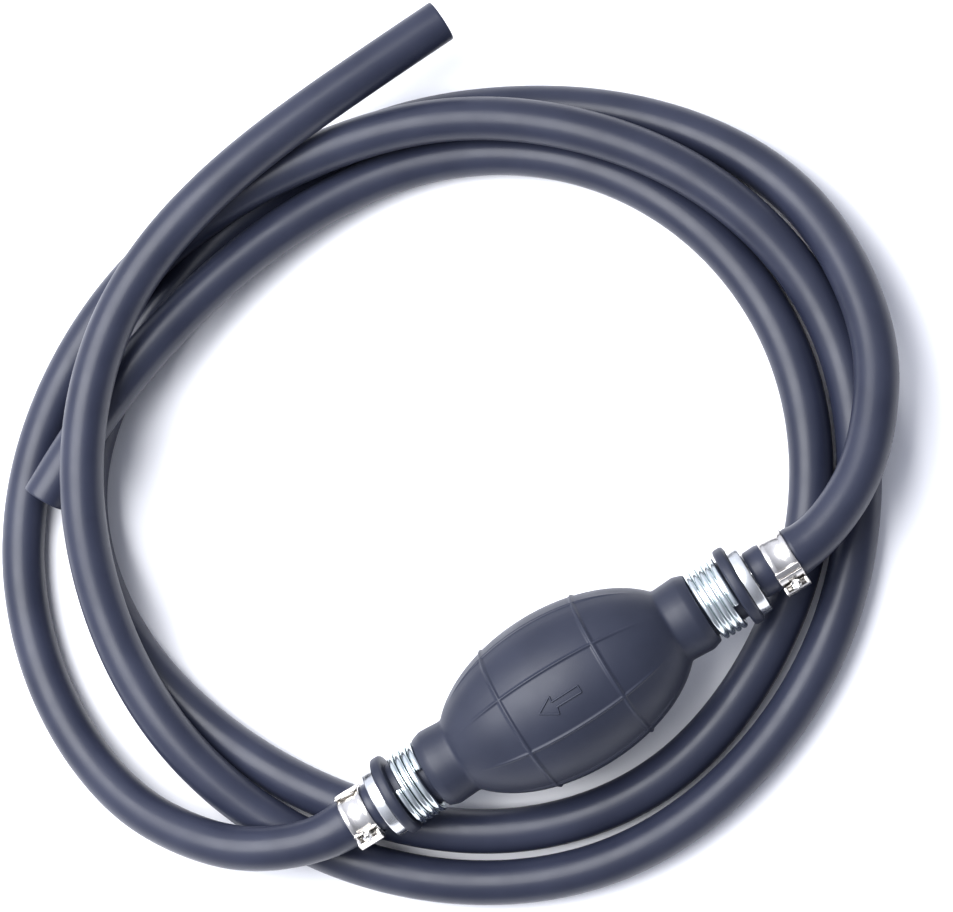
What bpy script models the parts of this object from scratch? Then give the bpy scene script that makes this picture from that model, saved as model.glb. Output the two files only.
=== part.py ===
"""Hand siphon pump: a squeeze bulb with a check valve and a hose on each end.

Frame: +X runs along the bulb from its outlet end to its inlet end, against the flow, and +Z is up.
The origin lies under the bulb's middle, on the surface that the pump lies on. Metres.
"""

import math

import bmesh
import bpy
import numpy as np
from mathutils import Matrix, Vector

MM = 0.001
GAP = 0.3 * MM

# The bulb: an ellipsoid belly between two straight collars, necks and end lips.
BELLY_RADIUS = 26 * MM
BELLY_HALF_LENGTH = 43.5 * MM
AXIS_Z = BELLY_RADIUS
BELLY_END_X = 36.5 * MM
COLLAR_START_X = 40 * MM
COLLAR_END_X = 49 * MM
COLLAR_RADIUS = 12.2 * MM
NECK_RADIUS = 9.7 * MM
LIP_START_X = 60.5 * MM
LIP_END_X = 64 * MM
LIP_RADIUS = 13.1 * MM
NECK_BORE = 7.3 * MM
NECK_BORE_START_X = 43 * MM
WALL = 3.5 * MM
RING_RIB_X = 16.5 * MM
RING_RIB_HALF_WIDTH = 0.8 * MM
RIB_HEIGHT = 0.6 * MM
RIB_COUNT = 8
RIB_HALF_LENGTH = 31 * MM
RIB_OFFSET = math.radians(34)
BULB_SIDES = 32

# The part of the wall that a hand presses in, cut out by an upright elliptical prism.
CROWN_HALF_LENGTH = 24 * MM
CROWN_HALF_WIDTH = 13 * MM
CROWN_SIDES = 32

# The flow arrow, raised in the middle of a panel between two ribs and pointing along -X.
ARROW_ANGLE = math.radians(11.5)
ARROW_TAIL_X = 6.6 * MM
ARROW_NECK_X = -2.4 * MM
ARROW_TIP_X = -7.7 * MM
ARROW_SHAFT_HALF_WIDTH = 1.1 * MM
ARROW_HEAD_HALF_WIDTH = 2.9 * MM
ARROW_HEIGHT = 0.3 * MM

# The coil clamps: wire wound on the necks.
WIRE_RADIUS = 1 * MM
COIL_RADIUS = 11.1 * MM
COIL_PITCH = 2.2 * MM
COIL_OUTER_X = LIP_START_X - GAP - WIRE_RADIUS

# The valve bodies: a plug in the neck, a flange ring, and a barb in the hose.
PLUG_RADIUS = 7 * MM
PLUG_START_X = 46 * MM
CHAMBER_RADIUS = 5.2 * MM
CHAMBER_END_X = 60 * MM
FLANGE_START_X = 64.1 * MM
FLANGE_END_X = 67.5 * MM
FLANGE_RADIUS = 11.7 * MM
BARB_RADIUS = 4.8 * MM
BARB_ROOT_RADIUS = 4.4 * MM
BARB_BORE = 3 * MM
BARB_END_X = 84.2 * MM
BARB_COUNT = 3

# The check valve inside each body, from its seat's upstream face along the flow.
SEAT_LENGTH = 2 * MM
SEAT_RADIUS = CHAMBER_RADIUS - GAP
SEAT_BORE = 2.6 * MM
POPPET_RADIUS = 4 * MM
POPPET_THICKNESS = 1.2 * MM
STEM_RADIUS = 0.9 * MM
STEM_END = 13 * MM
RETAINER_START = 10.5 * MM
RETAINER_THICKNESS = 1.5 * MM
RETAINER_HOLE = 0.98 * MM
PORT_RADIUS = 0.8 * MM
PORT_CIRCLE = 3 * MM
PORT_COUNT = 5
SPRING_RADIUS = 2.4 * MM
SPRING_WIRE = 0.3 * MM
SPRING_TURNS = 4.5
INLET_SEAT_X = CHAMBER_END_X - GAP
OUTLET_SEAT_X = -PLUG_START_X - 1 * MM

# The hose: 8 mm bore and 14 mm outside, stretched a little where it sits on the barb.
HOSE_RADIUS = 7 * MM
CUFF_BORE = BARB_RADIUS + GAP
CUFF_RADIUS = 7.6 * MM
CUFF_START_X = FLANGE_END_X + GAP
CUFF_END_X = 84.6 * MM
HOSE_LEAD = 5 * MM
HOSE_POINT_SPACING = 30 * MM

# The worm drive clamps.
BAND_START_X = {"inlet": 73.6 * MM, "outlet": 71 * MM}
BAND_WIDTH = 8 * MM
BAND_INNER_RADIUS = CUFF_RADIUS + GAP
BAND_RADIUS = 8.4 * MM
HOUSING_ANGLE = {"inlet": math.radians(84), "outlet": math.radians(65)}
HOUSING_INNER_RADIUS = BAND_RADIUS + GAP
HOUSING_RADIUS = 11.3 * MM
HOUSING_LENGTH = 5.6 * MM
SCREW_RADIUS = 0.9 * MM
SCREW_AXIS_RADIUS = 10 * MM
SCREW_HOLE = 0.99 * MM
SCREW_HEAD_RADIUS = 1.5 * MM
SCREW_HEAD_LENGTH = 1.6 * MM
SCREW_SLOT_WIDTH = 0.5 * MM

# Each hose's route from its cuff to its free end, chosen by hand: x, y, z of its middle line.
HOSE_ROUTES = {
    "inlet": [
        (0.085, 0, 0.026), (0.0988, 0.0035, 0.0258), (0.1126, 0.0114, 0.0244), (0.1252, 0.0243, 0.0224),
        (0.1349, 0.0396, 0.0202), (0.1414, 0.0614, 0.017), (0.1403, 0.1021, 0.0104),
        (0.1155, 0.1464, 0.0072), (0.0766, 0.1772, 0.0072), (0.0296, 0.1947, 0.0072),
        (-0.0206, 0.1928, 0.0072), (-0.068, 0.1758, 0.0072), (-0.1053, 0.144, 0.0072),
        (-0.1176, 0.0957, 0.0072), (-0.1058, 0.0473, 0.0072), (-0.0788, 0.005, 0.0072),
        (-0.0396, -0.0259, 0.0072), (0.0093, -0.036, 0.0072), (0.0552, -0.0211, 0.0072),
        (0.0924, 0.0111, 0.0072), (0.1127, 0.0546, 0.0072), (0.1114, 0.1043, 0.0072),
        (0.0883, 0.1472, 0.0072), (0.0468, 0.175, 0.008), (-0.0031, 0.1809, 0.0125),
        (-0.0521, 0.1716, 0.0183), (-0.0974, 0.1532, 0.0219), (-0.1168, 0.1436, 0.0208),
    ],
    "outlet": [
        (-0.085, 0, 0.026), (-0.1002, 0.0037, 0.0258), (-0.1146, 0.0116, 0.0239), (-0.1281, 0.0247, 0.02),
        (-0.1387, 0.0404, 0.0156), (-0.1463, 0.0626, 0.011), (-0.1463, 0.104, 0.0075),
        (-0.1262, 0.1492, 0.0074), (-0.087, 0.181, 0.0127), (-0.0401, 0.195, 0.0198),
        (0.0083, 0.1944, 0.0216), (0.0554, 0.1814, 0.0209), (0.0964, 0.1501, 0.0198),
        (0.1223, 0.1081, 0.0164), (0.1287, 0.0595, 0.0089), (0.1123, 0.0139, 0.0072),
        (0.0791, -0.0244, 0.0072), (0.0344, -0.0469, 0.0072), (-0.0147, -0.0505, 0.0072),
        (-0.0623, -0.0311, 0.0072), (-0.0975, 0.004, 0.0098), (-0.1161, 0.0494, 0.0192),
        (-0.1151, 0.0998, 0.0265), (-0.0956, 0.1439, 0.0356), (-0.0603, 0.1798, 0.0366),
        (-0.013, 0.1972, 0.0364), (0.0359, 0.2036, 0.032), (0.075, 0.2065, 0.0275),
    ],
}

SIDES = {"inlet": 1, "outlet": -1}


def clear_scene():
    for thing in list(bpy.data.objects):
        bpy.data.objects.remove(thing, do_unlink=True)


def material(name, color, roughness, metallic=0.0):
    made = bpy.data.materials.new(name)
    made.use_nodes = True
    shader = made.node_tree.nodes["Principled BSDF"]
    shader.inputs["Base Color"].default_value = (*color, 1)
    shader.inputs["Roughness"].default_value = roughness
    shader.inputs["Metallic"].default_value = metallic
    return made


def place(name, mesh, look, parent=None):
    """Adds the mesh as an object, shaded smooth across its shallow edges."""
    mesh.materials.append(look)
    mesh.shade_smooth()
    mesh.set_sharp_from_angle(angle=math.radians(35))
    made = bpy.data.objects.new(name, mesh)
    made.parent = parent
    bpy.context.scene.collection.objects.link(made)
    return made


def empty(name, location):
    made = bpy.data.objects.new(name, None)
    made.location = location
    bpy.context.scene.collection.objects.link(made)
    return made


def finish_mesh(name, shape):
    """Turns the bmesh into a mesh with its faces pointing out."""
    bmesh.ops.recalc_face_normals(shape, faces=shape.faces)
    made = bpy.data.meshes.new(name)
    shape.to_mesh(made)
    shape.free()
    return made


def turned(name, outline, sides, ridges=None):
    """A mesh turned round the X axis. The outline is (x, radius) points: a closed loop that keeps off the
    axis, or a run that starts and ends on it. ridges gives a height to add to a point, from x and angle."""
    shape = bmesh.new()
    on_axis = outline[0][1] == 0
    rings = []
    for x, radius in outline:
        ring = []
        for side in range(sides):
            angle = RIB_OFFSET + math.tau * side / sides
            lift = ridges(x, radius, side) if ridges else 0
            reach = radius + lift
            ring.append(shape.verts.new((x, -reach * math.sin(angle), reach * math.cos(angle))))
            if radius == 0:
                break
        rings.append(ring)
    following = rings[1:] if on_axis else rings[1:] + rings[:1]
    for ring, after in zip(rings, following):
        join_rings(shape, ring, after, sides)
    return finish_mesh(name, shape)


def join_rings(shape, ring, after, sides):
    for side in range(sides):
        beside = (side + 1) % sides
        corners = [ring[side % len(ring)], ring[beside % len(ring)], after[beside % len(after)]]
        if len(ring) > 1 and len(after) > 1:
            corners.append(after[side])
        elif len(after) > 1:
            corners = [ring[0], after[beside], after[side]]
        shape.faces.new(corners)


def mirrored(outline, side):
    return [(side * x, radius) for x, radius in outline]


def tube(name, points, radius, look, resolution, parent=None):
    """A curve object with a round section and closed ends along the points."""
    curve = bpy.data.curves.new(name, "CURVE")
    curve.dimensions = "3D"
    curve.bevel_depth = radius
    curve.bevel_resolution = resolution
    curve.use_fill_caps = True
    curve.materials.append(look)
    spline = curve.splines.new("POLY")
    spline.points.add(len(points) - 1)
    for point, place_at in zip(spline.points, points):
        point.co = (*place_at, 1)
    made = bpy.data.objects.new(name, curve)
    made.parent = parent
    bpy.context.scene.collection.objects.link(made)
    return made


def helper(made):
    """Keeps an object out of the part, for a Boolean to use."""
    made.hide_render = True
    made.display_type = "WIRE"
    return made


def combine(target, other, operation):
    boolean = target.modifiers.new(other.name, "BOOLEAN")
    boolean.operation = operation
    boolean.solver = "EXACT"
    boolean.object = other


def cut(target, cutter):
    """Takes the cutter away from the target."""
    combine(target, helper(cutter), "DIFFERENCE")


def block(name, low, high, transform=None):
    """A box between two corners, moved by the transform."""
    shape = bmesh.new()
    size = Vector(high) - Vector(low)
    middle = (Vector(high) + Vector(low)) / 2
    bmesh.ops.create_cube(shape, size=1, matrix=Matrix.Translation(middle) @ Matrix.Diagonal((*size, 1)))
    if transform:
        shape.transform(transform)
    return finish_mesh(name, shape)


def prism(name, outline, low, high):
    """An upright prism over the (x, y) outline."""
    shape = bmesh.new()
    base = shape.faces.new([shape.verts.new((x, y, low)) for x, y in outline])
    raised = bmesh.ops.extrude_face_region(shape, geom=[base])["geom"]
    bmesh.ops.translate(shape, verts=[v for v in raised if isinstance(v, bmesh.types.BMVert)],
                        vec=(0, 0, high - low))
    return finish_mesh(name, shape)


# The bulb


def belly_radius(x):
    return BELLY_RADIUS * math.sqrt(1 - (x / BELLY_HALF_LENGTH) ** 2)


def bulb_outline():
    """The rubber's section: its outer face from outlet to inlet, then its inner face back."""
    belly = [x * MM for x in (-33, -27, -22, -8, 0, 8, 22, 27, 33)]
    rings = [side * RING_RIB_X + step * RING_RIB_HALF_WIDTH for side in (-1, 1) for step in (-1, 0, 1)]
    outer = [(x, belly_radius(x)) for x in sorted(belly + rings)]
    end = [(BELLY_END_X, belly_radius(BELLY_END_X)), (38.5 * MM, 12.8 * MM), (COLLAR_START_X, COLLAR_RADIUS),
           (COLLAR_END_X, COLLAR_RADIUS), (COLLAR_END_X, NECK_RADIUS), (LIP_START_X, NECK_RADIUS),
           (LIP_START_X, LIP_RADIUS), (LIP_END_X, LIP_RADIUS), (LIP_END_X, NECK_BORE)]
    cavity = [x * MM for x in (-33, -26, -16, -6, 6, 16, 26, 33)]
    inner = [(x, belly_radius(x) - WALL) for x in reversed(cavity)]
    throat = [(NECK_BORE_START_X, NECK_BORE)]
    return (mirrored(reversed(end), -1) + outer + end + throat + inner + mirrored(throat, -1))


def rib_lift(x, radius, side):
    """How far the ring ribs and the lengthwise ribs stand out of the belly."""
    if radius < belly_radius(min(abs(x), BELLY_END_X)) - WALL / 2:
        return 0
    on_ring = abs(abs(x) - RING_RIB_X) < 0.1 * RING_RIB_HALF_WIDTH
    lengthwise = side % (BULB_SIDES // RIB_COUNT) == 0 and abs(x) < RIB_HALF_LENGTH
    taper = min(1, (RIB_HALF_LENGTH - abs(x)) / (8 * MM)) if lengthwise else 0
    return RIB_HEIGHT * max(on_ring, 0.7 * taper)


def crown_outline(extra):
    reach = (CROWN_HALF_LENGTH + extra, CROWN_HALF_WIDTH + extra)
    turns = [math.tau * side / CROWN_SIDES for side in range(CROWN_SIDES)]
    return [(reach[0] * math.cos(turn), reach[1] * math.sin(turn)) for turn in turns]


def flow_arrow(look, holder):
    """The form of an arrow that points along the flow and stands a little out of the belly."""
    shaft, head = ARROW_SHAFT_HALF_WIDTH, ARROW_HEAD_HALF_WIDTH
    outline = [(ARROW_TAIL_X, -shaft), (ARROW_TAIL_X, shaft), (ARROW_NECK_X, shaft), (ARROW_NECK_X, head),
               (ARROW_TIP_X, 0), (ARROW_NECK_X, -head), (ARROW_NECK_X, -shaft)]
    form = prism("flow_arrow", outline, BELLY_RADIUS - WALL / 2, BELLY_RADIUS + WALL)
    made = helper(place("flow_arrow", form, look, holder))
    made.rotation_euler = (ARROW_ANGLE, 0, 0)
    steps = [step * 4 * MM for step in range(-6, 7)]
    skin = [(x, belly_radius(x) + ARROW_HEIGHT) for x in steps]
    skin = [(steps[0], 0), *skin, (steps[-1], 0)]
    limit = helper(place("flow_arrow_skin", turned("flow_arrow_skin", skin, BULB_SIDES), look, holder))
    combine(made, limit, "INTERSECT")
    return made


def make_bulb(look, axis):
    """The bulb, and the crown of its wall as a piece of its own."""
    profile = bulb_outline()
    bulb = place("squeeze_bulb", turned("squeeze_bulb", profile, BULB_SIDES, rib_lift), look, axis)
    crown = place("bulb_crown", turned("bulb_crown", profile, BULB_SIDES, rib_lift), look, axis)
    hole = place("crown_hole", prism("crown_hole", crown_outline(GAP), 0, 2 * BELLY_RADIUS), look, axis)
    cut(bulb, hole)
    core = place("crown_core", prism("crown_core", crown_outline(0), 0, 2 * BELLY_RADIUS), look, axis)
    combine(crown, helper(core), "INTERSECT")
    combine(crown, flow_arrow(look, axis), "UNION")


# The coil clamps


def helix(radius, first_angle, last_angle, start_x, end_x, per_turn):
    """Points along a coil round the X axis. Angles run from +Z towards -Y."""
    count = round(abs(last_angle - first_angle) / math.tau * per_turn)
    points = []
    for step in range(count + 1):
        share = step / count
        angle = first_angle + share * (last_angle - first_angle)
        x = start_x + share * (end_x - start_x)
        points.append((x, -radius * math.sin(angle), radius * math.cos(angle)))
    return points


def make_coil_clamps(look, axis):
    """Four close turns of wire on each neck, from the lip to the collar."""
    sweeps = {"inlet": (math.radians(32), -math.radians(1365)), "outlet": (math.radians(5), math.radians(1434))}
    for end, side in SIDES.items():
        first, last = sweeps[end]
        length = abs(last - first) / math.tau * COIL_PITCH
        points = helix(COIL_RADIUS, first, last, side * COIL_OUTER_X, side * (COIL_OUTER_X - length), 14)
        tube(f"{end}_coil_clamp", points, WIRE_RADIUS, look, 1, axis)


# The valves


def valve_body_outline():
    """The plug, the flange ring and the barb, then the bore back to the plug."""
    tooth = (BARB_END_X - FLANGE_END_X - 4 * MM) / BARB_COUNT
    teeth = []
    for number in range(BARB_COUNT):
        start = FLANGE_END_X + 4 * MM + number * tooth
        teeth += [(start, BARB_RADIUS), (start + tooth, BARB_ROOT_RADIUS)]
    return [(PLUG_START_X, CHAMBER_RADIUS), (PLUG_START_X, PLUG_RADIUS), (FLANGE_START_X, PLUG_RADIUS),
            (FLANGE_START_X, FLANGE_RADIUS), (FLANGE_END_X, FLANGE_RADIUS),
            (FLANGE_END_X, BARB_ROOT_RADIUS), (FLANGE_END_X + 4 * MM, BARB_ROOT_RADIUS), *teeth,
            (BARB_END_X, BARB_BORE), (CHAMBER_END_X, BARB_BORE), (CHAMBER_END_X, CHAMBER_RADIUS)]


def seat_outline():
    """A ring with a sloped inner edge on its downstream side."""
    return [(0, SEAT_BORE), (0, SEAT_RADIUS), (-SEAT_LENGTH, SEAT_RADIUS), (-SEAT_LENGTH, SEAT_BORE + 0.5 * MM),
            (-SEAT_LENGTH / 2, SEAT_BORE)]


def poppet_outline():
    """A disc on a stem that the retainer guides."""
    face = -SEAT_LENGTH - GAP
    back = face - POPPET_THICKNESS
    return [(face, 0), (face, POPPET_RADIUS), (back, POPPET_RADIUS), (back, STEM_RADIUS),
            (-STEM_END, STEM_RADIUS), (-STEM_END, 0)]


def make_retainer(name, seat, look):
    """A disc with a guide hole for the stem and ports for the liquid."""
    start, end = -RETAINER_START, -RETAINER_START - RETAINER_THICKNESS
    outline = [(start, RETAINER_HOLE), (start, SEAT_RADIUS), (end, SEAT_RADIUS), (end, RETAINER_HOLE)]
    made = place(name, turned(name, outline, 24), look, seat)
    shape = bmesh.new()
    for port in range(PORT_COUNT):
        angle = math.tau * port / PORT_COUNT
        spot = (start - RETAINER_THICKNESS / 2, PORT_CIRCLE * math.sin(angle), PORT_CIRCLE * math.cos(angle))
        bmesh.ops.create_cone(shape, cap_ends=True, segments=10, radius1=PORT_RADIUS, radius2=PORT_RADIUS,
                              depth=2 * RETAINER_THICKNESS,
                              matrix=Matrix.Translation(spot) @ Matrix.Rotation(math.pi / 2, 4, "Y"))
    cut(made, place(f"{name}_ports", finish_mesh(f"{name}_ports", shape), look, seat))


def make_spring(name, seat, look):
    start = -SEAT_LENGTH - GAP - POPPET_THICKNESS - SPRING_WIRE - 0.1 * MM
    end = -RETAINER_START + SPRING_WIRE + 0.1 * MM
    points = helix(SPRING_RADIUS, 0, SPRING_TURNS * math.tau, start, end, 8)
    tube(name, points, SPRING_WIRE, look, 0, seat)


def make_valves(looks, axis):
    """Both valves open along the flow, so only their bodies are mirror images."""
    seats = {"inlet": INLET_SEAT_X, "outlet": OUTLET_SEAT_X}
    for end, side in SIDES.items():
        body = turned(f"{end}_valve_body", mirrored(valve_body_outline(), side), 24)
        place(f"{end}_valve_body", body, looks["plated"], axis)
        seat = empty(f"{end}_seat_place", (seats[end], 0, 0))
        seat.parent = axis
        place(f"{end}_valve_seat", turned(f"{end}_valve_seat", seat_outline(), 24), looks["seal"], seat)
        place(f"{end}_valve_poppet", turned(f"{end}_valve_poppet", poppet_outline(), 24), looks["plastic"], seat)
        make_retainer(f"{end}_valve_retainer", seat, looks["plastic"])
        make_spring(f"{end}_valve_spring", seat, looks["steel"])


# The hoses and their clamps


def make_cuffs(look, axis):
    """The stretch of each hose that sits on its barb."""
    outline = [(CUFF_START_X, CUFF_BORE), (CUFF_START_X, CUFF_RADIUS), (CUFF_END_X - 0.6 * MM, CUFF_RADIUS),
               (CUFF_END_X, HOSE_RADIUS), (CUFF_END_X, CUFF_BORE)]
    for end, side in SIDES.items():
        place(f"{end}_hose_cuff", turned(f"{end}_hose_cuff", mirrored(outline, side), 24), look, axis)


def make_band(name, start, end, look, axis):
    outline = [(start, BAND_INNER_RADIUS), (start, BAND_RADIUS), (end, BAND_RADIUS), (end, BAND_INNER_RADIUS)]
    place(name, turned(name, outline, 36), look, axis)


def make_housing(name, frame, look):
    """The block that holds the screw, with a hole for it. In its frame, +Z points out of the hose, and the
    screw runs along +Y, its head on the upper side."""
    low = (-BAND_WIDTH / 2, -HOUSING_LENGTH / 2, HOUSING_INNER_RADIUS)
    high = (BAND_WIDTH / 2, HOUSING_LENGTH / 2, HOUSING_RADIUS)
    made = place(name, block(name, low, high), look, frame)
    bevel = made.modifiers.new("rounded edges", "BEVEL")
    bevel.width = 0.5 * MM
    bevel.segments = 2
    bevel.limit_method = "ANGLE"
    hole = turned(f"{name}_hole", [(-HOUSING_LENGTH, 0), (-HOUSING_LENGTH, SCREW_HOLE),
                                   (HOUSING_LENGTH, SCREW_HOLE), (HOUSING_LENGTH, 0)], 16)
    cutter = place(f"{name}_hole", hole, look, frame)
    cutter.location = (0, 0, SCREW_AXIS_RADIUS)
    cutter.rotation_euler = (0, 0, math.pi / 2)
    cut(made, cutter)


def make_screw(name, frame, look):
    """A slotted screw, its own X axis along its shaft."""
    head = HOUSING_LENGTH / 2 + GAP
    tip = -HOUSING_LENGTH / 2 - 0.5 * MM
    outline = [(tip, 0), (tip, SCREW_RADIUS), (head, SCREW_RADIUS), (head, SCREW_HEAD_RADIUS),
               (head + SCREW_HEAD_LENGTH, SCREW_HEAD_RADIUS), (head + SCREW_HEAD_LENGTH, 0)]
    made = place(name, turned(name, outline, 16), look, frame)
    made.location = (0, 0, SCREW_AXIS_RADIUS)
    made.rotation_euler = (0, 0, math.pi / 2)
    low = (head + SCREW_HEAD_LENGTH - 0.7 * MM, -SCREW_SLOT_WIDTH / 2, -3 * MM)
    high = (head + SCREW_HEAD_LENGTH + 1 * MM, SCREW_SLOT_WIDTH / 2, 3 * MM)
    slot = place(f"{name}_slot", block(f"{name}_slot", low, high), look, made)
    cut(made, slot)


def make_clamps(look, axis):
    """A clamp near the middle of each cuff, its housing on the -Y side."""
    for end, side in SIDES.items():
        start = BAND_START_X[end]
        make_band(f"{end}_clamp_band", side * start, side * (start + BAND_WIDTH), look, axis)
        frame = empty(f"{end}_housing_place", (side * (start + BAND_WIDTH / 2), 0, 0))
        frame.rotation_euler = (HOUSING_ANGLE[end], 0, 0)
        frame.parent = axis
        make_housing(f"{end}_clamp_housing", frame, look)
        make_screw(f"{end}_clamp_screw", frame, look)


def smooth_route(points, spacing):
    """Evenly spaced points on the natural cubic spline through the route, kept off the ground."""
    route = np.array(points)
    knots = np.concatenate([[0], np.cumsum(np.linalg.norm(np.diff(route, axis=0), axis=1))])
    steps = np.diff(knots)
    count = len(route)
    system = np.eye(count)
    right = np.zeros((count, 3))
    for i in range(1, count - 1):
        system[i, i - 1:i + 2] = steps[i - 1], 2 * (steps[i - 1] + steps[i]), steps[i]
        right[i] = 6 * ((route[i + 1] - route[i]) / steps[i] - (route[i] - route[i - 1]) / steps[i - 1])
    bend = np.linalg.solve(system, right)
    along = np.linspace(0, knots[-1], round(knots[-1] / spacing) + 1)
    i = np.clip(np.searchsorted(knots, along, side="right") - 1, 0, count - 2)
    step = steps[i][:, None]
    before = (knots[i + 1] - along)[:, None] / step
    after = 1 - before
    smooth = before * route[i] + after * route[i + 1]
    smooth += ((before**3 - before) * bend[i] + (after**3 - after) * bend[i + 1]) * step**2 / 6
    smooth[:, 2] = np.maximum(smooth[:, 2], HOSE_RADIUS + 0.1 * MM)
    return smooth


def make_hoses(look):
    """Each hose leaves its cuff straight, so that its closed end stands square to the barb."""
    for end, route in HOSE_ROUTES.items():
        points = smooth_route(route, HOSE_POINT_SPACING)
        second = (points[0][0] + SIDES[end] * HOSE_LEAD, 0, AXIS_Z)
        points = np.concatenate([points[:1], [second], points[1:]])
        tube(f"{end}_hose", points, HOSE_RADIUS, look, 2)


def make_pump():
    clear_scene()
    rubber = material("rubber", (0.045, 0.047, 0.06), 0.42)
    zinc = material("zinc_wire", (0.72, 0.75, 0.76), 0.28, 1)
    looks = {
        "plated": material("plated_fitting", (0.76, 0.76, 0.74), 0.3, 1),
        "seal": material("seal_rubber", (0.03, 0.03, 0.03), 0.6),
        "plastic": material("valve_plastic", (0.85, 0.85, 0.82), 0.4),
        "steel": material("spring_steel", (0.6, 0.6, 0.6), 0.3, 1),
    }
    stainless = material("stainless", (0.7, 0.68, 0.65), 0.3, 1)
    axis = empty("bulb_axis", (0, 0, AXIS_Z))
    make_bulb(rubber, axis)
    make_coil_clamps(zinc, axis)
    make_valves(looks, axis)
    make_cuffs(rubber, axis)
    make_clamps(stainless, axis)
    make_hoses(rubber)


make_pump()
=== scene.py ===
"""The looks of the hand siphon pump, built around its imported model.

Metres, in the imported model's frame: +X runs along the bulb from its outlet end to its inlet end, and +Z
is up. Only the outlines and the few sizes beside them that say so are in millimetres.
"""

import math

import bmesh
import bpy
import numpy as np
from mathutils import Matrix, Vector


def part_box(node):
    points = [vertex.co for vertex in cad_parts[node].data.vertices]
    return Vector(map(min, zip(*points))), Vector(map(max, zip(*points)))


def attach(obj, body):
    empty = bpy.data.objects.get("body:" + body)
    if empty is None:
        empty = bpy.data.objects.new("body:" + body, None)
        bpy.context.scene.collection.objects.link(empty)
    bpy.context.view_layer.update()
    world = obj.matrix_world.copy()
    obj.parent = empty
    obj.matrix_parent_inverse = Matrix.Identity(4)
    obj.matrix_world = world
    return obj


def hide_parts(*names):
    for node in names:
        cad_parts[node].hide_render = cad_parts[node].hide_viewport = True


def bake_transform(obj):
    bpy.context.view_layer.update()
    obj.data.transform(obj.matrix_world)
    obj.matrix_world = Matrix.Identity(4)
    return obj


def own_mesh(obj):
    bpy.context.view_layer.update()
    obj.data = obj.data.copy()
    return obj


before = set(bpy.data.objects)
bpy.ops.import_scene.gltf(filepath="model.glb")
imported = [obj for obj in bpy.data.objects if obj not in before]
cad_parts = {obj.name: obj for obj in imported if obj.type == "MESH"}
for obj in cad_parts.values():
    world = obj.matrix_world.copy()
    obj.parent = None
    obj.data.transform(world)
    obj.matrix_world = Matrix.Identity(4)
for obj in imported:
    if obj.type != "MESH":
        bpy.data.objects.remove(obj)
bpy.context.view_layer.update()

MM = 0.001
SIDES = {"inlet": 1, "outlet": -1}


def middle(node, axis):
    low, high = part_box(node)
    return (low[axis] + high[axis]) / 2


AXIS_Z = middle("inlet_valve_body", 2)

# The camera, at the photograph's viewing angle: metres, degrees about X, Y and Z, and a lens in mm.
CAMERA_PLACE = (0.09692, -0.12426, 0.87844)
CAMERA_TURN = (8.655, 11.57, -30.281)
CAMERA_LENS = 105.77
SENSOR_WIDTH = 36

# The hoses: 8 mm bore and 14 mm outside, from the flange to the free end. A hose's middle line starts
# with three points on the bulb's axis, over the barb.
HOSE_RADIUS = 7 * MM
HOSE_BORE_RADIUS = 4 * MM
HOSE_BORE_DEPTH = 45 * MM
HOSE_SIDES = 40
HOSE_STEP = 2.5 * MM
HOSE_PATH_STEP = 1 * MM
HOSE_START_X = (67.8 * MM, 73 * MM, 79 * MM)

# How far the hose is stretched by its barb, and how thick it is there, in mm: distance from its start,
# then radius.
SWELL_LENGTH = 30 * MM
SWELL_STEP = 1.5 * MM
BARB_SWELL = {
    "inlet": [
        (0, 7.4), (0.5, 7.85), (4.5, 8), (6.2, 7.6), (13.5, 7.6), (14.8, 7.8), (18, 7.4), (24, 7.05), (30, 7),
    ],
    "outlet": [
        (0, 7.4), (0.5, 7.85), (2, 7.95), (3.6, 7.6), (11, 7.6), (12.4, 7.8), (17, 7.5), (24, 7.05), (30, 7),
    ],
}

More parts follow.
